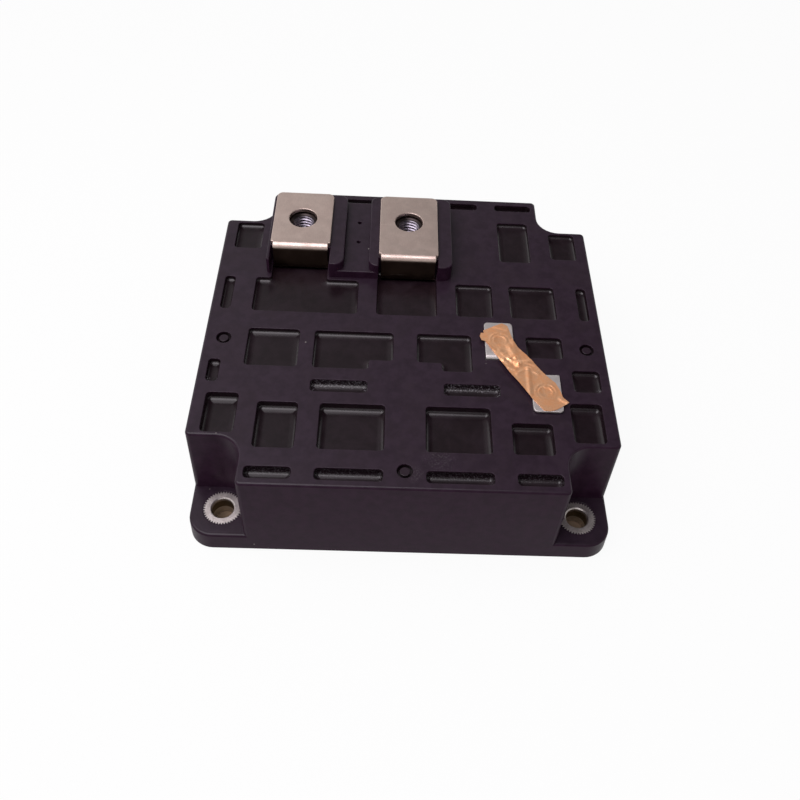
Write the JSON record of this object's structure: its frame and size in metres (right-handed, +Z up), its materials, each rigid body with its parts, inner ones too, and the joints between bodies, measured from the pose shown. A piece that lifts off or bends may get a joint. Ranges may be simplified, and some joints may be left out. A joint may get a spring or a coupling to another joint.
{
  "type": "igbt module",
  "caption": "Low square power switch module with a pitted moulded case, bent screw terminals and a copper base plate.",
  "frame": {"origin": "centre of the base plate's underside, which is the face that rests on the heatsink", "axes": "+Z up, out of the terminals' side; +X along the row of main terminals, towards the emitter; +Y towards the main terminals' edge"},
  "size_m": [0.13, 0.13, 0.043],
  "materials": {
    "case_resin": "satin black moulded resin, faintly warm",
    "plate_nickel": "matt nickel plate on copper",
    "terminal_nickel": "satin nickel plate on copper, slightly warm",
    "control_nickel": "satin nickel plate on copper",
    "bushing_nickel": "nickel plated, knurled rim",
    "nut_zinc": "bright zinc plate",
    "copper_foil": "crumpled copper foil",
    "circuit_copper": "bare copper",
    "tile_ceramic": "matt white ceramic",
    "wire_aluminium": "bright drawn wire",
    "chip_silicon": "satin silicon",
    "gel": "soft clear silicone gel"
  },
  "bodies": {
    "root": {"case": "case_resin", "base_plate": "plate_nickel", "collector_terminal": "terminal_nickel", "emitter_terminal": "terminal_nickel", "collector_nut": "nut_zinc", "emitter_nut": "nut_zinc", "gate_terminal": "control_nickel", "sense_terminal": "control_nickel", "gate_nut": "nut_zinc", "sense_nut": "nut_zinc", "shorting_foil": "copper_foil", "gate_jumpers": "wire_aluminium", "silicone_gel": "gel", "bushing_front_left": "bushing_nickel", "bushing_front_right": "bushing_nickel", "bushing_rear_left": "bushing_nickel", "bushing_rear_right": "bushing_nickel", "back_copper_front_left": "circuit_copper", "back_copper_front_right": "circuit_copper", "back_copper_rear_left": "circuit_copper", "back_copper_rear_right": "circuit_copper", "ceramic_tile_front_left": "tile_ceramic", "ceramic_tile_front_right": "tile_ceramic", "ceramic_tile_rear_left": "tile_ceramic", "ceramic_tile_rear_right": "tile_ceramic", "circuit_copper_front_left": "circuit_copper", "circuit_copper_front_right": "circuit_copper", "circuit_copper_rear_left": "circuit_copper", "circuit_copper_rear_right": "circuit_copper", "bond_wires_front_left": "wire_aluminium", "bond_wires_front_right": "wire_aluminium", "bond_wires_rear_left": "wire_aluminium", "bond_wires_rear_right": "wire_aluminium", "igbt_outer_front_left": "chip_silicon", "igbt_outer_front_right": "chip_silicon", "igbt_outer_rear_left": "chip_silicon", "igbt_outer_rear_right": "chip_silicon", "igbt_inner_front_left": "chip_silicon", "igbt_inner_front_right": "chip_silicon", "igbt_inner_rear_left": "chip_silicon", "igbt_inner_rear_right": "chip_silicon", "diode_outer_front_left": "chip_silicon", "diode_outer_front_right": "chip_silicon", "diode_outer_rear_left": "chip_silicon", "diode_outer_rear_right": "chip_silicon", "diode_inner_front_left": "chip_silicon", "diode_inner_front_right": "chip_silicon", "diode_inner_rear_left": "chip_silicon", "diode_inner_rear_right": "chip_silicon"}
  },
  "joints": []
}
